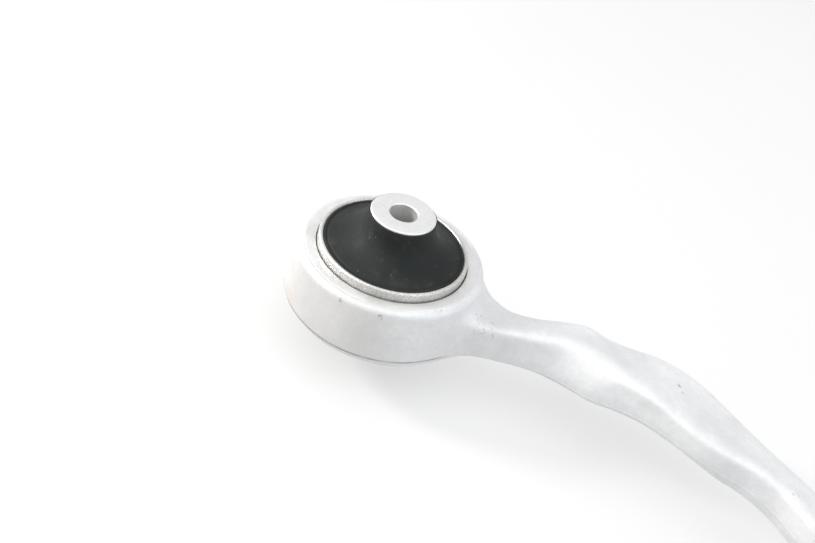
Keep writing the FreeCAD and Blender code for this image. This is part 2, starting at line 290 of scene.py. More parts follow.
# Places on the forging: centre in millimetres, and reach
# Painted shade: a warm, darker patch on the head's front-left wall, standing in for shade that falls
# there
PAINTED_SHADE_SIDE = ((-4.0, -46.0, -4.0), 44.0)
STAINED = ((-18.0, -38.0, 0.0), 30.0)
SCUFFS = [((50.0, 3.5, 6.5), 8.0), ((34.0, -14.5, 14.0), 5.0), ((188.0, 24.0, 1.0), 4.0),
          ((-22.0, 34.0, 13.0), 6.0), ((240.0, 18.0, -4.0), 6.0)]
NICKS = [((20.9, -36.2, 12.9), 1.5), ((4.2, -40.6, 13.0), 1.3), ((34.6, -17.5, 14.0), 1.2),
         ((151.9, 29.2, 3.6), 1.1), ((188.3, 24.1, 1.0), 1.2), ((55.9, -0.4, 5.4), 1.1),
         ((128.0, 41.0, 5.5), 1.2), ((131.0, 38.0, 5.5), 1.0)]
# Dark line at the head's parting plane: half thickness fades between these, at these radii only
SEAM_RISE = 0.25
SEAM_FADE = (0.2, 0.75)
SEAM_RADII = (42.0, 42.4, 43.6, 44.5)


def forged():
    """Shot-blasted forging: mottled skin, painted warm shade on the head's front-left wall, warm stains
    on the head, scuffs, nicks and a dark seam.
    """
    n = Nodes("forged_aluminium")
    n.set(Metallic=0.9)
    tone = n.mix(n.spread(n.noise(48.0, 5.0, 0.6), 0.35, 0.65), FORGED_DARK, FORGED_LIGHT)
    mottle = n.spread(n.noise(420.0, 4.0, 0.7), 0.4, 0.65, 0.0, 0.3)
    tone = n.mix(mottle, tone, FORGED_MOTTLE)
    # Painted shade: darken and warm the head's front-left wall
    tone = n.mix(n.math("MULTIPLY", n.near(*PAINTED_SHADE_SIDE), 0.35), tone, FORGED_PAINTED_SHADE)
    stain = n.math("MULTIPLY", n.spread(n.noise(30.0, 4.0, 0.6), 0.52, 0.7, 0.0, 0.5),
                   n.near(*STAINED))
    tone = n.mix(stain, tone, STAIN_TONE)
    scuffs = 0.0
    for place, radius in SCUFFS:
        scuffs = n.math("MAXIMUM", n.near(place, radius), scuffs)
    flecks = n.spread(n.noise(700.0, 3.0, 0.65, stretch=(1.0, 1.8, 1.4)), 0.58, 0.66)
    tone = n.mix(n.math("MULTIPLY", n.math("MULTIPLY", scuffs, flecks), 0.55), tone, FLECK_TONE)
    nicks = 0.0
    for place, radius in NICKS:
        nicks = n.math("MAXIMUM", n.near(place, radius), nicks)
    nicks = n.math("MULTIPLY", nicks, n.spread(n.noise(1100.0, 3.0), 0.44, 0.56))
    tone = n.mix(n.math("MULTIPLY", nicks, 0.55), tone, NICK_TONE)
    seam = n.math("SUBTRACT", n.height(), (HEAD_PARTING_Z + SEAM_RISE) * MM)
    seam = n.spread(n.math("ABSOLUTE", seam), SEAM_FADE[0] * MM, SEAM_FADE[1] * MM, 1.0, 0.0)
    seam = n.math("MULTIPLY", seam, n.spread(n.radius(), SEAM_RADII[0] * MM, SEAM_RADII[1] * MM))
    seam = n.math("MULTIPLY", seam, n.spread(n.radius(), SEAM_RADII[3] * MM, SEAM_RADII[2] * MM))
    seam = n.math("MULTIPLY", seam, n.spread(n.noise(70.0, 3.0), 0.38, 0.55, 0.25, 0.75))
    n.join(n.mix(seam, tone, SEAM_TONE), n.shader.inputs["Base Color"])
    n.join(n.spread(n.noise(110.0, 4.0), 0.3, 0.7, 0.64, 0.76), n.shader.inputs["Roughness"])
    n.bump((n.noise(95.0, 3.0, 0.5), 0.12, 0.0008), (n.noise(1500.0, 3.0, 0.6), 0.38, 0.0002),
           (n.math("SUBTRACT", 1.0, nicks), 0.4, 0.0002))
    return n.material


def sawn_rim():
    """Grainy cut rim of the outer sleeve."""
    n = Nodes("sleeve_aluminium")
    n.set(Metallic=0.85)
    grain = n.spread(n.noise(1400.0, 4.0, 0.7), 0.38, 0.62)
    patch = n.mix(n.spread(n.noise(70.0, 3.0), 0.35, 0.65), (0.60, 0.60, 0.58), (0.72, 0.72, 0.71))
    n.join(n.mix(grain, (0.44, 0.43, 0.41), patch), n.shader.inputs["Base Color"])
    n.join(n.spread(n.noise(160.0, 4.0), 0.3, 0.7, 0.42, 0.6), n.shader.inputs["Roughness"])
    n.bump((n.noise(1100.0, 4.0, 0.7), 0.45, 0.0003))
    return n.material


def bush_rubber():
    """Charcoal rubber with a fine grain and faint dusty smudges."""
    n = Nodes("bush_rubber")
    n.set(Specular_IOR_Level=0.2)
    tone = n.mix(n.spread(n.noise(60.0, 5.0), 0.35, 0.65), (0.009, 0.011, 0.011), (0.017, 0.020, 0.019))
    dust = n.spread(n.noise(75.0, 6.0, 0.7, distortion=1.5), 0.56, 0.74, 0.0, 0.4)
    tone = n.mix(dust, tone, (0.075, 0.062, 0.048))
    motes = n.spread(n.noise(520.0, 2.0, 0.5), 0.71, 0.76, 0.0, 0.4)
    n.join(n.mix(motes, tone, (0.12, 0.11, 0.1)), n.shader.inputs["Base Color"])
    n.join(n.spread(n.noise(120.0, 4.0), 0.3, 0.7, 0.55, 0.72), n.shader.inputs["Roughness"])
    n.bump((n.noise(240.0, 4.0), 0.2, 0.0005), (n.noise(1300.0, 3.0), 0.3, 0.0002))
    return n.material


def moulded(name, light, dark, rough=(0.45, 0.6), grain=900.0, bump=0.2, specular=0.5):
    """Moulded plastic or rubber with a fine grain and slight tone changes."""
    n = Nodes(name)
    n.set(Specular_IOR_Level=specular)
    n.join(n.mix(n.spread(n.noise(45.0, 5.0), 0.35, 0.65), dark, light),
           n.shader.inputs["Base Color"])
    n.join(n.spread(n.noise(120.0, 4.0), 0.3, 0.7, rough[0], rough[1]),
           n.shader.inputs["Roughness"])
    n.bump((n.noise(grain, 3.0), bump, 0.0002))
    return n.material


def paint(obj, material):
    obj.data.materials.clear()
    obj.data.materials.append(material)
    return obj


# ---------------------------------------------------------------- the forging

HEAD_TOP_R = 41.2
HEAD_PARTING_R = 42.9
HEAD_PARTING_Z = -9.8
HEAD_LOW_R = 38.6
HEAD_HALF = 15.5
HEAD_BORE_R = 33.0
HEAD_FACE_R = 38.2
HEAD_TOP_ROUND = 3.0
HOUSING_R = 23.0
HOUSING_TOP = 11.0
HOUSING_BOTTOM = -18.6
HOUSING_ROUND = 3.0
HOUSING_CAVITY_R = 17.6
COLLAR_R = 19.0
COLLAR_GROOVE_R = 17.6
COLLAR_TOP = 16.0
# Width of the fillets where the bar runs into the head and into the housing
HEAD_FILLET = 7.0
HOUSING_FILLET = 8.0
# The machined ring covers the head's faces and bore, so the skin stands back there
FACE_SETBACK = 0.25
BORE_SETBACK = 0.9
# Grid of the forging's distance field: cell size, value far away, and room around the part
PITCH = 0.9
FAR = 20.0
REACH = 13.0

# Sections of the bar in planes X = constant: x, front parting line (y, z), crest (y, z),
# back edge (y, z), underside z, undercut, sag of the top, hollow of the front face
STATIONS = [
    (21.0, -30.0, -11.5, -24.0, 8.5, 27.0, 6.0, -13.5, 3.0, 0.0, 0.0),
    (27.0, -27.5, -11.5, -22.0, 8.5, 28.5, 6.0, -13.5, 3.0, 0.0, 0.0),
    (33.0, -22.0, -11.5, -17.0, 8.5, 28.5, 5.5, -13.3, 4.0, 0.0, 0.0),
    (39.0, -13.5, -11.3, -9.0, 8.0, 26.5, 4.5, -13.0, 4.0, 0.0, 0.0),
    (45.0, -5.5, -11.0, -2.5, 7.0, 25.0, 4.0, -12.8, 4.5, 0.0, 0.0),
    (52.0, 0.0, -10.4, 3.0, 6.0, 25.0, 3.5, -12.5, 5.0, 0.3, -0.3),
    (62.0, 5.5, -9.9, 9.5, 6.5, 30.0, 3.5, -12.5, 5.5, 0.3, 0.0),
    (72.0, 10.0, -9.3, 17.0, 7.3, 38.0, 4.0, -12.5, 6.0, 0.0, 0.3),
    (82.0, 12.5, -8.9, 22.5, 9.0, 43.5, 5.0, -12.5, 6.0, 0.0, -1.0),
    (92.0, 13.5, -8.4, 25.0, 9.6, 43.5, 5.0, -12.5, 6.0, 0.0, -2.5),
    (102.0, 13.5, -7.4, 25.5, 9.3, 48.0, 4.0, -12.4, 6.5, 1.0, -2.3),
    (112.0, 16.0, -6.0, 24.0, 8.8, 54.0, 3.0, -12.2, 6.5, 1.0, -0.3),
    (124.0, 17.5, -4.4, 22.5, 8.3, 56.0, 3.0, -12.0, 6.5, 0.5, 0.6),
    (136.0, 17.5, -4.0, 21.5, 7.0, 55.0, 2.5, -12.0, 6.0, 0.5, 0.2),
    (148.0, 17.0, -4.0, 21.0, 6.0, 51.5, 2.0, -12.0, 5.0, 0.5, -0.3),
    (160.0, 17.5, -4.5, 22.0, 5.5, 48.0, 1.0, -12.3, 3.5, 0.5, -0.5),
    (172.0, 19.5, -5.5, 23.5, 5.0, 45.0, 0.0, -12.8, 2.5, 0.5, -0.5),
    (184.0, 18.3, -6.5, 23.5, 4.0, 43.0, -1.5, -13.5, 2.0, 0.5, -0.5),
    (198.0, 12.5, -8.0, 20.0, 3.0, 40.5, -3.0, -14.4, 2.0, 0.5, -0.5),
    (214.0, 7.2, -9.5, 15.0, 1.0, 37.5, -4.5, -15.8, 2.0, 0.5, -0.5),
    (232.0, 2.5, -11.0, 10.0, -1.0, 32.5, -6.0, -18.0, 2.0, 0.5, -0.5),
    (252.0, -3.0, -13.0, 4.6, -3.0, 25.0, -7.5, -21.4, 2.0, 0.5, -0.5),
    (272.0, -8.0, -15.5, -0.5, -4.5, 18.5, -8.5, -25.3, 2.5, 0.3, -0.5),
    (290.0, -11.5, -18.5, -4.5, -6.0, 15.5, -8.5, -29.0, 3.0, 0.3, 0.0),
    (306.0, -15.0, -20.5, -8.0, -7.0, 16.0, -8.5, -31.5, 3.0, 0.0, 0.0),
]


def station_points(station):
    """Control points (y, z) of one section, from the front parting line, underside first."""
    _, front_y, front_z, crest_y, crest_z, back_y, back_z, under_z, undercut, sag, hollow = station
    drop = front_z - under_z
    span = back_y - crest_y
    fall = crest_z - back_z
    lead = min(0.16 * span, 0.45 * (crest_y - front_y))
    return np.array([
        (front_y, front_z),
        (front_y + 0.8 * undercut, front_z - 0.55 * drop),
        (front_y + 1.6 * undercut, under_z),
        (0.5 * (front_y + back_y), under_z + 0.3),
        (back_y - 3.5, under_z),
        (back_y - 0.5, back_z - 0.6 * (back_z - under_z)),
        (back_y + 0.3, back_z - 3.0),
        (back_y - 0.5, back_z + 0.2),
        (back_y - 0.30 * span, back_z + 0.35 * fall),
        (crest_y + 0.40 * span, crest_z - 0.32 * fall - sag),
        (crest_y + 0.12 * span, crest_z + 0.3),
        (crest_y - lead, crest_z - 0.9),
        (front_y + 0.45 * (crest_y - front_y) + hollow, front_z + 0.60 * (crest_z - front_z)),
    ])


def controls_at(x):
    """Section control points at any x, smoothly between the stations."""
    xs = [s[0] for s in STATIONS]
    i = int(np.clip(np.searchsorted(xs, x) - 1, 0, len(xs) - 2))
    width = xs[i + 1] - xs[i]
    t = np.clip((x - xs[i]) / width, 0.0, 1.0)
    p1 = station_points(STATIONS[i])
    p2 = station_points(STATIONS[i + 1])
    before = max(i - 1, 0)
    after = min(i + 2, len(xs) - 1)
    slope1 = (p2 - station_points(STATIONS[before])) / (xs[i + 1] - xs[before]) * width
    slope2 = (station_points(STATIONS[after]) - p1) / (xs[after] - xs[i]) * width
    return ((2 * t ** 3 - 3 * t ** 2 + 1) * p1 + (t ** 3 - 2 * t ** 2 + t) * slope1
            + (3 * t ** 2 - 2 * t ** 3) * p2 + (t ** 3 - t ** 2) * slope2)


def section(x, per_span=6):
    """Points of the closed cubic curve that a section's control points draw."""
    points = controls_at(x)
    count = len(points)
    out = []
    for i in range(count):
        p = [points[(i + k - 1) % count] for k in range(4)]
        for k in range(per_span):
            t = k / per_span
            out.append((p[0] * (1 - t) ** 3 + p[1] * (3 * t ** 3 - 6 * t ** 2 + 4)
                        + p[2] * (-3 * t ** 3 + 3 * t ** 2 + 3 * t + 1) + p[3] * t ** 3) / 6)
    return np.array(out)


def polygon_distance(points, loop):
    """Signed distance of (n, 2) points from a closed loop, negative inside."""
    a = loop
    b = np.roll(loop, -1, axis=0)
    edge = b - a
    length2 = (edge ** 2).sum(1)
    rel = points[:, None, :] - a[None]
    t = np.clip((rel * edge[None]).sum(2) / length2[None], 0, 1)
    gap = rel - t[..., None] * edge[None]
    distance = np.sqrt((gap ** 2).sum(2).min(1))
    above = (a[None, :, 1] > points[:, None, 1]) != (b[None, :, 1] > points[:, None, 1])
    run = np.where(np.abs(edge[:, 1]) < 1e-9, 1e-9, edge[:, 1])
    cross = a[None, :, 0] + (points[:, None, 1] - a[None, :, 1]) * (edge[:, 0] / run)[None]
    inside = (above & (points[:, None, 0] < cross)).sum(1) % 2 == 1
    return np.where(inside, -distance, distance)


def head_distance(radius, up):
    """Signed distance from the ring head's blank: drafted wall, round shoulder, bevel below."""
    draft = math.atan2(HEAD_PARTING_R - HEAD_TOP_R, HEAD_HALF - HEAD_PARTING_Z)
    wall = (radius - HEAD_TOP_R) * math.cos(draft) - (HEAD_HALF - up) * math.sin(draft)
    slant = math.atan2(HEAD_PARTING_R - HEAD_LOW_R, HEAD_PARTING_Z + HEAD_HALF)
    bevel = (radius - HEAD_LOW_R) * math.cos(slant) - (up + HEAD_HALF) * math.sin(slant)
    qx = wall + HEAD_TOP_ROUND
    qy = up - HEAD_HALF + HEAD_TOP_ROUND
    shoulder = np.hypot(np.maximum(qx, 0), np.maximum(qy, 0)) - HEAD_TOP_ROUND
    shoulder = shoulder + np.minimum(np.maximum(qx, qy), 0)
    return np.maximum(np.maximum(shoulder, bevel), -up - HEAD_HALF)


def round_box(across, up, half_width, half_height, radius):
    """Signed distance from a rounded rectangle in section."""
    qx = across - half_width + radius
    qy = np.abs(up) - half_height + radius
    outside = np.sqrt(np.maximum(qx, 0) ** 2 + np.maximum(qy, 0) ** 2)
    return outside + np.minimum(np.maximum(qx, qy), 0) - radius


def join_smooth(first, second, reach):
    """Union of two distance fields with a fillet about reach wide."""
    h = np.maximum(reach - np.abs(first - second), 0.0) / reach
    return np.minimum(first, second) - h * h * reach / 4


def forging_field():
    """Distance field of the forging on a regular grid, with its axes."""
    xs = np.arange(-45.0, 347.0, PITCH)
    ys = np.arange(-45.0, 61.0, PITCH)
    zs = np.arange(-39.0, 19.0, PITCH)
    gy, gz = np.meshgrid(ys, zs, indexing="ij")
    field = np.full((len(xs), len(ys), len(zs)), FAR)
    first_x, last_x = STATIONS[0][0], STATIONS[-1][0]
    housing_mid = (HOUSING_TOP + HOUSING_BOTTOM) / 2 + BALL_Z
    housing_half = (HOUSING_TOP - HOUSING_BOTTOM) / 2
    for i, x in enumerate(xs):
        radius = np.hypot(x, gy)
        from_ball = np.hypot(x - BALL_X, gy)
        head = head_distance(radius, gz)
        housing = round_box(from_ball, gz - housing_mid, HOUSING_R, housing_half, HOUSING_ROUND)
        bar = np.full_like(gy, FAR)
        if first_x - REACH + 1 < x < last_x + REACH - 1:
            inside_x = float(np.clip(x, first_x, last_x))
            loop = section(inside_x)
            low = loop.min(0) - REACH
            high = loop.max(0) + REACH
            near = (gy > low[0]) & (gy < high[0]) & (gz > low[1]) & (gz < high[1])
            slope = np.abs(section(inside_x + 1)[:, 0] - section(inside_x - 1)[:, 0]).mean() / 2
            flat = polygon_distance(np.stack([gy[near], gz[near]], 1), loop) / math.hypot(1, slope)
            bar[near] = np.maximum(flat, abs(x - inside_x)) if x != inside_x else flat
        body = join_smooth(bar, head, HEAD_FILLET)
        body = join_smooth(body, housing, HOUSING_FILLET)
        body = np.maximum(body, HEAD_BORE_R + BORE_SETBACK - radius)
        lowered = np.maximum(np.abs(gz) - HEAD_HALF + FACE_SETBACK, -1.0)
        body = np.where(radius < HEAD_FACE_R + 0.2, np.maximum(body, lowered), body)
        field[i] = np.maximum(body, HOUSING_CAVITY_R - from_ball)
    return field, xs, ys, zs


def surface_net(field):
    """Quads on the zero level of a grid of distances."""
    sign = field < 0
    nx, ny, nz = (n - 1 for n in field.shape)
    corners = [(a, b, c) for a in (0, 1) for b in (0, 1) for c in (0, 1)]
    total = sum(sign[a:a + nx, b:b + ny, c:c + nz].astype(np.int8) for a, b, c in corners)
    cells = np.argwhere((total > 0) & (total < 8))
    index = np.full((nx, ny, nz), -1, np.int64)
    index[tuple(cells.T)] = np.arange(len(cells))
    place = np.zeros((len(cells), 3))
    hits = np.zeros(len(cells))
    for axis in range(3):
        others = [k for k in range(3) if k != axis]
        for p in (0, 1):
            for q in (0, 1):
                start = np.zeros(3, int)
                start[others[0]] = p
                start[others[1]] = q
                end = start.copy()
                end[axis] = 1
                v0 = field[tuple((cells + start).T)]
                v1 = field[tuple((cells + end).T)]
                cut = (v0 < 0) != (v1 < 0)
                t = np.where(cut, v0 / np.where(cut, v0 - v1, 1.0), 0.0)
                point = start[None] + t[:, None] * (end - start)[None]
                place += np.where(cut[:, None], point, 0.0)
                hits += cut
    place = cells + place / hits[:, None]
    quads = []
    for axis in range(3):
        u, v = [(1, 2), (2, 0), (0, 1)][axis]
        low = [slice(None)] * 3
        high = [slice(None)] * 3
        low[axis] = slice(0, -1)
        high[axis] = slice(1, None)
        edges = np.argwhere(sign[tuple(low)] != sign[tuple(high)])
        edges = edges[(edges[:, u] > 0) & (edges[:, v] > 0)
                      & (edges[:, u] < field.shape[u] - 1) & (edges[:, v] < field.shape[v] - 1)]
        step_u = np.zeros(3, int)
        step_u[u] = 1
        step_v = np.zeros(3, int)
        step_v[v] = 1
        ring = [edges - step_u - step_v, edges - step_v, edges, edges - step_u]
        quad = np.stack([index[tuple(r.T)] for r in ring], 1)
        flip = ~sign[tuple(edges.T)]
        quad[flip] = quad[flip][:, ::-1]
        quads.append(quad)
    return place, np.concatenate(quads)


def sample(field, places):
    """Trilinear reading of the field at fractional grid places."""
    base = np.clip(np.floor(places).astype(int), 0, np.array(field.shape) - 2)
    t = places - base
    value = 0.0
    for a in (0, 1):
        for b in (0, 1):
            for c in (0, 1):
                weight = (np.abs(1 - a - t[:, 0]) * np.abs(1 - b - t[:, 1])
                          * np.abs(1 - c - t[:, 2]))
                value = value + weight * field[base[:, 0] + a, base[:, 1] + b, base[:, 2] + c]
    return value


def settle(field, place, quads, rounds=3):
    """Even out the net, and bring it back on to the zero level each time."""
    pairs = np.concatenate([quads[:, [k, (k + 1) % 4]] for k in range(4)])
    pairs = np.concatenate([pairs, pairs[:, ::-1]])
    degree = np.bincount(pairs[:, 0], minlength=len(place))[:, None]
    for _ in range(rounds):
        total = np.zeros_like(place)
        for axis in range(3):
            total[:, axis] = np.bincount(pairs[:, 0], weights=place[pairs[:, 1], axis],
                                         minlength=len(place))
        place = 0.5 * place + 0.5 * total / degree
        value = sample(field, place)
        slope = np.zeros_like(place)
        for axis in range(3):
            step = np.zeros(3)
            step[axis] = 0.5
            slope[:, axis] = sample(field, place + step) - sample(field, place - step)
        steep = np.maximum((slope ** 2).sum(1), 0.25)
        move = slope * (value / steep)[:, None]
        size = np.linalg.norm(move, axis=1, keepdims=True)
        place = place - move * np.minimum(1.0, 0.8 / np.maximum(size, 1e-9))
    return place


def build_forging():
    field, xs, ys, zs = forging_field()
    place, quads = surface_net(field)
    place = settle(field, place, quads)
    points = (place * PITCH + np.array([xs[0], ys[0], zs[0]])) * MM
    mesh = bpy.data.meshes.new("arm_body")
    mesh.from_pydata(points.tolist(), [], quads.tolist())
    mesh.validate()
    mesh.polygons.foreach_set("use_smooth", [True] * len(mesh.polygons))
    return link(mesh, "arm_body")


def bead(name, path, width, height, outward, closed=False):
    """Low rounded bead along a path of points in millimetres, standing out along outward."""
    bm = bmesh.new()
    rows = []
    profile = [(-0.5, -3.0), (-0.5, 0.1), (-0.3, 0.8), (0.0, 1.0), (0.3, 0.8), (0.5, 0.1), (0.5, -3.0)]
    for point, out in zip(path, outward):
        out = Vector(out).normalized()
        row = []
        for up, stand in profile:
            place = Vector(point) + Vector((0, 0, 1)) * up * width + out * stand * height
            row.append(bm.verts.new(place * MM))
        rows.append(row)
    last = len(rows) if closed else len(rows) - 1
    for i in range(last):
        here, there = rows[i], rows[(i + 1) % len(rows)]
        for k in range(len(profile)):
            j = (k + 1) % len(profile)
            bm.faces.new((here[k], here[j], there[j], there[k]))
    if not closed:
        bm.faces.new(rows[0])
        bm.faces.new(rows[-1][::-1])
    return finish_mesh(bm, name, 60.0)


# ---------------------------------------------------------------- finishes

FORGED = forged()
MACHINED = metal("machined_aluminium", (0.76, 0.76, 0.75), (0.66, 0.66, 0.65), (0.5, 0.62), 75.0,
                 2600.0, 0.2, rings_at=0.0, ring_pitch=0.6, ring_bump=0.07)
SLEEVE = sawn_rim()
TURNED = metal("turned_aluminium", (0.76, 0.76, 0.755), (0.69, 0.69, 0.685), (0.48, 0.58), 900.0,
               1500.0, 0.3, rings_at=0.0, ring_pitch=0.45)
HOUSING_CUT = metal("housing_machined", (0.68, 0.68, 0.68), (0.6, 0.6, 0.6), (0.26, 0.36), 90.0, 3000.0,
                    0.12, rings_at=BALL_X, ring_pitch=0.3)
STEEL = metal("stud_steel", (0.42, 0.42, 0.42), (0.34, 0.34, 0.34), (0.25, 0.38), 120.0, 2600.0, 0.15,
              rings_at=BALL_X, ring_pitch=0.3)
ZINC = metal("zinc_flake", (0.5, 0.51, 0.51), (0.4, 0.41, 0.41), (0.4, 0.55), 200.0, 1800.0, 0.3)
SPRING = metal("spring_steel", (0.55, 0.55, 0.55), (0.45, 0.45, 0.45), (0.22, 0.32), 200.0, 2500.0, 0.1)
POLISHED = metal("ground_steel", (0.62, 0.62, 0.64), (0.56, 0.56, 0.58), (0.08, 0.14), 90.0, 3000.0,
                 0.04)
RUBBER = bush_rubber()
BOOT_RUBBER = moulded("boot_rubber", (0.014, 0.014, 0.014), (0.01, 0.01, 0.01), (0.42, 0.55),
                      1100.0, 0.2)
DARK_PLASTIC = moulded("dark_plastic", (0.03, 0.03, 0.03), (0.02, 0.02, 0.02))
ACETAL = moulded("acetal", (0.7, 0.68, 0.6), (0.62, 0.6, 0.52), (0.3, 0.4), 500.0, 0.08)
NYLON = moulded("nylon", (0.55, 0.56, 0.5), (0.48, 0.48, 0.42), (0.35, 0.45), 500.0, 0.1)

# ---------------------------------------------------------------- the arm's pieces


def keep(obj, material, body, node_slot, *nodes):
    """Finish the piece, let it ride on its body, and hide the CAD nodes it stands in for."""
    paint(obj, material)
    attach(obj, body)
    if nodes:
        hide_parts(*nodes)
    return obj


def face_ring():
    """Machined ring: both faces and the bore of the head."""
    top = HEAD_HALF
    half = [(HEAD_BORE_R, top - 3.2), (HEAD_BORE_R + 0.5, top - 3.0), (HEAD_BORE_R + 0.5, top - 0.25),
            (HEAD_BORE_R + 0.75, top), (HEAD_FACE_R - 0.2, top), (HEAD_FACE_R, top - 0.3),
            (HEAD_FACE_R, top - 1.5), (HEAD_BORE_R + 1.6, top - 1.7)]
    ring = half + [(r, -h) for r, h in reversed(half)]
    return lathe("head_machined_ring", soften(ring, 0.1, 2))


def housing_collar():
    """Turned collar on top of the housing, with the groove for the boot's lower ring."""
    collar = [(16.2, COLLAR_TOP), (COLLAR_R, COLLAR_TOP), (COLLAR_R, COLLAR_TOP - 1.2),
              (COLLAR_GROOVE_R, COLLAR_TOP - 1.2), (COLLAR_GROOVE_R, HOUSING_TOP + 0.4),
              (COLLAR_R, HOUSING_TOP + 0.4), (COLLAR_R, HOUSING_TOP - 1.5),
              (14.0, HOUSING_TOP - 1.5)]
    return lathe("housing_collar", soften(collar, 0.3, 3), BALL_X, BALL_Z)


def rolled_lip():
    """Edge of the housing rolled in over the closure cap."""
    lip = [(17.9, HOUSING_BOTTOM + 0.7), (18.1, HOUSING_BOTTOM), (20.6, HOUSING_BOTTOM),
           (21.2, HOUSING_BOTTOM + 1.2), (19.6, HOUSING_BOTTOM + 1.6)]
    return lathe("housing_rolled_lip", soften(lip, 0.3, 3), BALL_X, BALL_Z)


keep(build_forging(), FORGED, "arm", "forged_aluminium", "arm_forging")
keep(face_ring(), MACHINED, "arm", "forged_aluminium")
keep(housing_collar(), HOUSING_CUT, "arm", "forged_aluminium")
keep(rolled_lip(), HOUSING_CUT, "arm", "forged_aluminium")

BEAD_WIDTH = 1.1
BEAD_HEIGHT = 0.12
BEAD_MARGIN = 0.05
# Places along the bar where the flash line stands clear of the head and the housing
BEAD_STEPS = np.arange(44.0, 300.0, 2.0)
FRONT_CONTROL = 0
BACK_CONTROL = 6
ARM_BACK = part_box("arm_forging")[1].y / MM


def on_curve(x, index):
    """Point (y, z) of the section curve nearest to one of its control points."""
    points = controls_at(x)
    return (points[index - 1] + 4 * points[index] + points[(index + 1) % len(points)]) / 6


def parting_line(name, index, side):
    """Thin raised flash line where the forging dies met, along one control point of the sections."""
    path = []
    outward = []
    for x in BEAD_STEPS:
        y, z = on_curve(float(x), index)
        next_y = on_curve(float(x) + 1.0, index)[0]
        path.append((x, min(y, ARM_BACK - BEAD_HEIGHT - BEAD_MARGIN), z))
        outward.append((-side * (next_y - y), side, 0.0))
    obj = bead(name, path, BEAD_WIDTH, BEAD_HEIGHT, outward)
    return keep(obj, FORGED, "arm", "forged_aluminium")


parting_line("parting_line_front", FRONT_CONTROL, -1.0)
parting_line("parting_line_back", BACK_CONTROL, 1.0)

# ---------------------------------------------------------------- the hydraulic bush

SLEEVE_R = 32.98
SLEEVE_INNER_R = 30.98
RIM_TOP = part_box("bush_outer_sleeve")[1].z / MM
RIM_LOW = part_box("bush_outer_sleeve")[0].z / MM
BOLT_HOLE_R = 6.1
PIN_FACE_R = 14.2
# The inner sleeve narrows behind its end face, and the rubber fills the neck
PIN_NECK = [(13.0, 31.5), (11.5, 27.0)]


def outer_sleeve():
    """Thin sleeve pressed into the eye, chamfered below and with a cut rim above."""
    sleeve = [(SLEEVE_INNER_R, RIM_LOW), (SLEEVE_R - 0.8, RIM_LOW), (SLEEVE_R, RIM_LOW + 1.0),
              (SLEEVE_R, RIM_TOP - 1.1), (SLEEVE_R - 0.35, RIM_TOP - 0.3), (SLEEVE_R - 1.0, RIM_TOP),
              (SLEEVE_INNER_R + 0.5, RIM_TOP), (SLEEVE_INNER_R, RIM_TOP - 0.5)]
    return lathe("bush_sleeve", soften(sleeve, 0.3, 3))


def inner_sleeve():
    """Sleeve with the bolt hole, the same at both ends."""
    half = [(BOLT_HOLE_R, BUSH_HALF - 0.4), (BOLT_HOLE_R + 0.4, BUSH_HALF),
            (PIN_FACE_R - 0.4, BUSH_HALF), (PIN_FACE_R, BUSH_HALF - 0.4),
            (PIN_FACE_R, BUSH_HALF - 2.5)] + PIN_NECK
    pin = half + [(r, -h) for r, h in reversed(half)]
    return lathe("inner_sleeve", soften(pin, 0.2, 3))


keep(outer_sleeve(), SLEEVE, "arm", "drawn_aluminium", "bush_outer_sleeve")
keep(inner_sleeve(), TURNED, "bush_pin", "turned_aluminium", "bush_inner_sleeve")

CONE_TOP = [(14.22, 35.2), (14.7, 35.1), (15.0, 34.2), (15.4, 32.2), (16.0, 30.0), (17.0, 27.8),
            (18.2, 26.0), (19.4, 24.7)]
CONE_LOW = [(19.4, 24.7), (21.6, 22.8), (24.2, 21.1), (26.8, 19.9), (28.5, 19.2), (29.2, 18.7),
            (29.6, 18.75), (30.1, 19.0), (30.7, 18.9), (30.95, 18.5)]
SEAM = 24.7
# Hidden walls: on the inner sleeve's neck, and clear of everything that moves inside
CONE_TOP_BACK = [(11.5, SEAM), (11.5, 27.0), (13.0, 31.5), (14.21, 33.5)]
CONE_LOW_BACK = [(30.95, 15.6), (27.4, 15.6), (26.5, 14.0), (20.0, 15.5), (17.6, 18.0), (17.2, SEAM)]


def rubber_half(side, suffix):
    """One end of the rubber in two pieces, since each piece may blend between two bodies only."""
    top = smooth_path(CONE_TOP, 8)
    low = smooth_path(CONE_LOW, 8)
    inner = top + CONE_TOP_BACK
    outer = low + CONE_LOW_BACK
    pieces = []
    for label, profile in (("inner", inner), ("outer", outer)):
        turned = [(r, side * h) for r, h in profile]
        piece = paint(lathe("rubber_" + label + "_" + suffix, turned), RUBBER)
        pieces.append(piece)
    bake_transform(pieces[0])
    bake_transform(pieces[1])
    return pieces


for piece in rubber_half(1, "upper") + rubber_half(-1, "lower"):
    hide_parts("bush_rubber")

WEB_HEIGHTS = (-11.0, -6.0, 0.0, 6.0, 11.0)
WEB_OUTER_R = 26.3
WEB_INNER_R = 17.2
WEB_OUTER_DEG = 15.5
WEB_INNER_DEG = 24.5
WEB_PINCH = 0.12


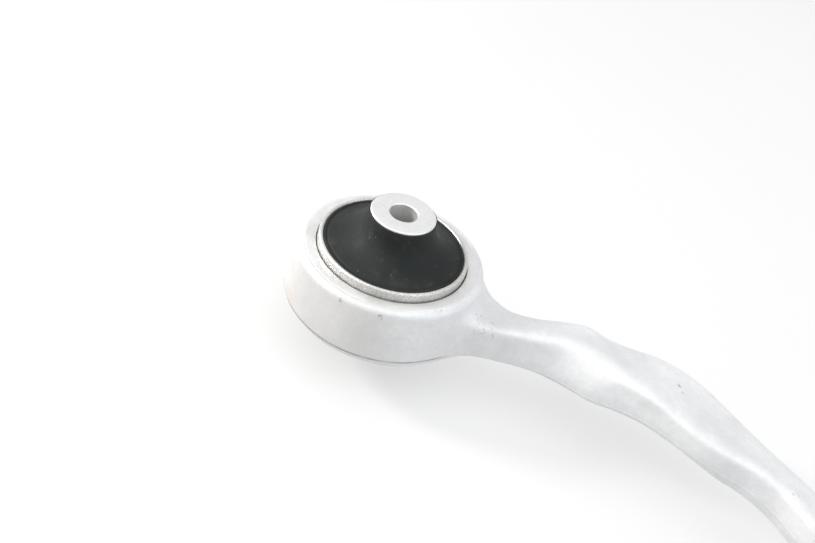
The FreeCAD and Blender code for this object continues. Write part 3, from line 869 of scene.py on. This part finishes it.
def rubber_webs():
    """The two walls between the fluid chambers, a little thinner at mid height."""
    bm = bmesh.new()
    outline = [(WEB_OUTER_R, deg) for deg in np.linspace(-WEB_OUTER_DEG, WEB_OUTER_DEG, 9)]
    outline += [(WEB_INNER_R, deg) for deg in np.linspace(WEB_INNER_DEG, -WEB_INNER_DEG, 9)]
    for side in (1, -1):
        rings = []
        for z in WEB_HEIGHTS:
            pinch = 1.0 - WEB_PINCH * math.cos(z / WEB_HEIGHTS[-1] * math.pi / 2)
            ring = []
            for r, deg in outline:
                a = math.radians(90 * side + deg * pinch)
                ring.append(bm.verts.new((r * math.cos(a) * MM, r * math.sin(a) * MM, z * MM)))
            rings.append(ring)
        for lower, upper in zip(rings, rings[1:]):
            for i in range(len(outline)):
                j = (i + 1) % len(outline)
                bm.faces.new((lower[i], lower[j], upper[j], upper[i]))
        bm.faces.new(rings[0][::-1])
        bm.faces.new(rings[-1])
    return finish_mesh(bm, "rubber_webs")


keep(rubber_webs(), RUBBER, "bush_core", "bush_rubber")

# ---------------------------------------------------------------- the ball joint

BOOT_OUT_LOW = [(21.0, 11.5), (20.4, 12.0), (20.4, 13.4), (21.2, 14.0), (22.9, 16.0), (23.58, 18.6),
                (22.9, 21.2), (20.6, 24.0)]
BOOT_OUT_HIGH = [(20.6, 24.0), (17.6, 26.6), (15.2, 28.8), (13.6, 30.4), (12.3, 31.7), (11.25, 32.4),
                 (11.25, 33.8), (12.0, 34.4), (12.0, 35.2)]
BOOT_IN_HIGH = [(9.7, 35.1), (9.7, 30.6), (11.9, 29.6), (14.4, 27.8), (17.0, 25.5), (18.9, 24.0)]
BOOT_IN_LOW = [(18.9, 24.0), (21.1, 21.1), (21.9, 18.6), (21.3, 17.0), (19.9, 15.9), (19.2, 14.75),
               (17.65, 14.7), (17.65, 11.5)]
low_boot = smooth_path(BOOT_OUT_LOW, 5) + smooth_path(BOOT_IN_LOW, 5)
high_boot = smooth_path(BOOT_OUT_HIGH, 5) + smooth_path(BOOT_IN_HIGH, 5)
boot_low = paint(lathe("boot_lower", low_boot, BALL_X, BALL_Z), BOOT_RUBBER)
boot_high = paint(lathe("boot_upper", high_boot, BALL_X, BALL_Z), BOOT_RUBBER)
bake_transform(boot_low)
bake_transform(boot_high)
for piece in (boot_low, boot_high):
    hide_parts("dust_boot")

STUD_TOP = 76.0
TAPER_TOP = 53.0
THREAD_R = 7.0
THREAD_PITCH = 1.5
THREAD_DEPTH = 0.85
THREAD_START = TAPER_TOP + 2.5
THREAD_END = STUD_TOP - 1.3
BALL_SEAT_R = 15.02
SOCKET_R = 3.45
SOCKET_ACROSS = 6.0
NUT_BOTTOM = 59.0
NUT_HEIGHT = 11.0
NUT_TOP = NUT_BOTTOM + NUT_HEIGHT
NUT_WIDTH = 21.0
NUT_CORNER_R = 12.3
NUT_CHAMFER_SLOPE = 1.75


def thread_ripple(r, h, angle):
    """Helical M14 x 1.5 profile on the outer wall of the threaded length."""
    if r < THREAD_R - 0.01 or not THREAD_START < h < THREAD_END:
        return r, h
    phase = (h / THREAD_PITCH - angle / (2 * math.pi)) % 1.0
    depth = THREAD_DEPTH * min(1.0, max(0.0, 1.25 - abs(phase - 0.5) * 3.2))
    fade = min(1.0, (h - THREAD_START) / 1.5, (THREAD_END - h) / 0.8)
    return r - depth * fade, h


def socket_ripple(r, h, angle):
    """Hexagon socket in the stud's end, and the thread outside."""
    if abs(r - SOCKET_R) < 0.01:
        sector = (angle + math.pi / 6) % (math.pi / 3) - math.pi / 6
        return SOCKET_ACROSS / 2 / math.cos(sector), h
    return thread_ripple(r, h, angle)


def stud_profile():
    """Neck, shank, taper, thread and socket, with a foot that sits on the ball."""
    foot = []
    for step in range(7):
        angle = math.radians(26 - 26 * step / 6)
        foot.append((BALL_SEAT_R * math.sin(angle), BALL_SEAT_R * math.cos(angle)))
    profile = soften([(6.5, 14.6), (6.5, 22.0), (9.0, 28.0), (9.0, 35.5), (8.4, 36.0),
                      (7.55, TAPER_TOP), (6.1, TAPER_TOP + 0.5), (6.1, TAPER_TOP + 1.0)],
                     0.6, 4, skip=(0, 7))
    profile += [(THREAD_R, h) for h in np.arange(TAPER_TOP + 1.9, STUD_TOP - 1.2, 0.125)]
    profile += [(THREAD_R, STUD_TOP - 1.2), (THREAD_R - 1.1, STUD_TOP), (3.6, STUD_TOP)]
    profile += [(SOCKET_R, STUD_TOP - 0.3), (SOCKET_R, STUD_TOP - 5.0), (0.0, STUD_TOP - 5.4)]
    return profile + [(0.0, BALL_SEAT_R)] + foot[::-1][1:]


def nut_ripple(r, h, angle):
    """Six flats with chamfered corners on the rows at the corner radius."""
    if r < NUT_CORNER_R - 0.1:
        return r, h
    sector = angle % (math.pi / 3) - math.pi / 6
    flat = NUT_WIDTH / 2 / math.cos(sector)
    chamfer = min(NUT_WIDTH / 2 - 0.2 + NUT_CHAMFER_SLOPE * (NUT_TOP - h), 20.0)
    return min(flat, chamfer, r), h


def nut_profile():
    """Flange, hexagon, and the rolled collar that holds the nylon ring."""
    profile = [(7.05, NUT_BOTTOM - 1.4), (13.3, NUT_BOTTOM - 1.4), (13.5, NUT_BOTTOM - 1.2),
               (13.5, NUT_BOTTOM - 0.7), (12.15, NUT_BOTTOM + 0.5)]
    profile += [(NUT_CORNER_R, h) for h in np.linspace(NUT_BOTTOM + 1.0, NUT_TOP, 34)]
    profile += [(9.9, NUT_TOP), (9.65, NUT_TOP + 0.25), (9.6, NUT_TOP + 2.6), (9.3, NUT_TOP + 3.1),
                (8.8, NUT_TOP + 3.2), (8.6, NUT_TOP + 2.8), (8.6, NUT_TOP + 0.2),
                (7.6, NUT_TOP + 0.2), (7.05, NUT_TOP - 0.4)]
    return profile


keep(lathe("ball_stud", stud_profile(), BALL_X, BALL_Z, 96, socket_ripple, 50.0), STEEL, "stud",
     "forged_steel", "ball_stud")
keep(lathe("lock_nut", nut_profile(), BALL_X, BALL_Z, 192, nut_ripple, 30.0), ZINC, "stud",
     "zinc_flake_steel", "lock_nut")

CAD_FINISH = {
    "bush_cage": DARK_PLASTIC,
    "channel_ring_half_a": DARK_PLASTIC,
    "channel_ring_half_b": DARK_PLASTIC,
    "bush_travel_stop": DARK_PLASTIC,
    "stud_ball": POLISHED,
    "bearing_seat": ACETAL,
    "seat_support_ring": SPRING,
    "closure_cap": ZINC,
    "nut_nylon_ring": NYLON,
    "boot_lower_ring": SPRING,
    "boot_upper_ring": SPRING,
    "stud_seal_ring": DARK_PLASTIC,
}
for node, material in CAD_FINISH.items():
    for material_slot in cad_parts[node].material_slots:
        material_slot.material = material

# ---------------------------------------------------------------- floor, light and camera


FLOOR_GLOW = 0.58
FLOOR_HALF = 3.0
FLOOR_CELLS = 24
FLOOR_GAP = 0.00002
FLOOR_DARK = (0.25, 0.25, 0.25)
FLOOR_LIGHT = (0.265, 0.265, 0.265)


def floor():
    """Pale translucent light table under the part, lit a little from below."""
    bm = bmesh.new()
    steps = [FLOOR_HALF * (i / FLOOR_CELLS - 0.5) * 2 for i in range(FLOOR_CELLS + 1)]
    grid = [[bm.verts.new((x, y, FLOOR - FLOOR_GAP)) for y in steps] for x in steps]
    for i in range(FLOOR_CELLS):
        for j in range(FLOOR_CELLS):
            bm.faces.new((grid[i][j], grid[i + 1][j], grid[i + 1][j + 1], grid[i][j + 1]))
    obj = finish_mesh(bm, "floor_sheet")
    n = Nodes("floor_paper")
    n.set(Roughness=0.75, Specular_IOR_Level=0.1, Emission_Strength=FLOOR_GLOW)
    n.shader.inputs["Emission Color"].default_value = (1.0, 1.0, 1.0, 1.0)
    n.join(n.mix(n.spread(n.noise(3.0, 3.0), 0.3, 0.7), FLOOR_DARK, FLOOR_LIGHT),
           n.shader.inputs["Base Color"])
    n.bump((n.noise(900.0, 2.0), 0.03, 0.0001))
    paint(obj, n.material)


floor()

AZIMUTH = 24.5
ELEVATION = 37.97
ROLL = 17.73
LENS = 44.17
SENSOR = 36.0
CAMERA_AT = Vector((0.1504, -0.3087, 0.2748))
# Level directions of the view, which the lamps are placed by too
RIGHT = Vector((math.cos(math.radians(AZIMUTH)), math.sin(math.radians(AZIMUTH)), 0))
AHEAD = Vector((-RIGHT.y, RIGHT.x, 0))
UP = Vector((0, 0, 1))


def place_camera():
    """Camera at the azimuth, elevation and roll above."""
    data = bpy.data.cameras.new("camera")
    data.sensor_width = SENSOR
    data.lens = LENS
    camera = bpy.data.objects.new("camera", data)
    bpy.context.scene.collection.objects.link(camera)
    tilt = math.radians(ELEVATION)
    look = (AHEAD * math.cos(tilt) - UP * math.sin(tilt)).normalized()
    level = look.cross(UP).normalized()
    tall = level.cross(look).normalized()
    turn = math.radians(ROLL)
    side = level * math.cos(turn) + tall * math.sin(turn)
    head_up = tall * math.cos(turn) - level * math.sin(turn)
    matrix = Matrix((side, head_up, -look)).transposed().to_4x4()
    matrix.translation = CAMERA_AT
    camera.matrix_world = matrix
    bpy.context.scene.camera = camera


place_camera()

LAMP_AIM = Vector((0.06, 0.0, 0.0))
# name, level direction as right and ahead, elevation, distance, edge length, watts, colour
LAMPS = [
    ("light_left", -1.0, 0.03, 28.0, 1.1, 0.2, 12.0, (1.0, 0.97, 0.93)),
    ("light_front", -0.88, -0.47, 40.0, 1.1, 0.35, 1.4, (1.0, 0.98, 0.95)),
    ("light_right", 0.9, -0.35, 36.0, 1.2, 0.9, 4.0, (0.9, 0.95, 1.0)),
    ("light_top", -0.6, -0.5, 74.0, 1.2, 1.1, 3.5, (1.0, 1.0, 1.0)),
]


def softbox(name, right, ahead, elevation, distance, edge, power, colour):
    """Square lamp facing the part, placed by its level direction, elevation and distance."""
    data = bpy.data.lights.new(name, "AREA")
    data.shape = "RECTANGLE"
    data.size = edge
    data.size_y = edge
    data.energy = power
    data.color = colour
    obj = bpy.data.objects.new(name, data)
    bpy.context.scene.collection.objects.link(obj)
    level = (RIGHT * right + AHEAD * ahead).normalized()
    rise = math.radians(elevation)
    place = (level * math.cos(rise) + UP * math.sin(rise)) * distance
    obj.location = place
    obj.rotation_euler = (LAMP_AIM - place).to_track_quat("-Z", "Y").to_euler()


for lamp in LAMPS:
    softbox(*lamp)


def studio_world():
    """Pale surroundings, brighter above and to the right, dimmer towards the horizon."""
    world = bpy.data.worlds.new("studio")
    world.use_nodes = True
    bpy.context.scene.world = world
    nodes = world.node_tree.nodes
    background = nodes["Background"]
    background.inputs["Color"].default_value = (0.985, 0.99, 1.0, 1.0)
    direction = nodes.new("ShaderNodeTexCoord")
    facing = nodes.new("ShaderNodeVectorMath")
    facing.operation = "DOT_PRODUCT"
    facing.inputs[1].default_value = (AHEAD * 0.35 + UP * 0.8 + RIGHT * 0.4).normalized()
    brightness = nodes.new("ShaderNodeMapRange")
    for key, number in (("From Min", -0.4), ("From Max", 0.8), ("To Min", 0.62), ("To Max", 1.02)):
        brightness.inputs[key].default_value = number
    links = world.node_tree.links
    links.new(direction.outputs["Generated"], facing.inputs[0])
    links.new(facing.outputs["Value"], brightness.inputs["Value"])
    links.new(brightness.outputs["Result"], background.inputs["Strength"])


studio_world()

bpy.context.scene.view_settings.view_transform = "Standard"
bpy.context.scene.view_settings.look = "None"
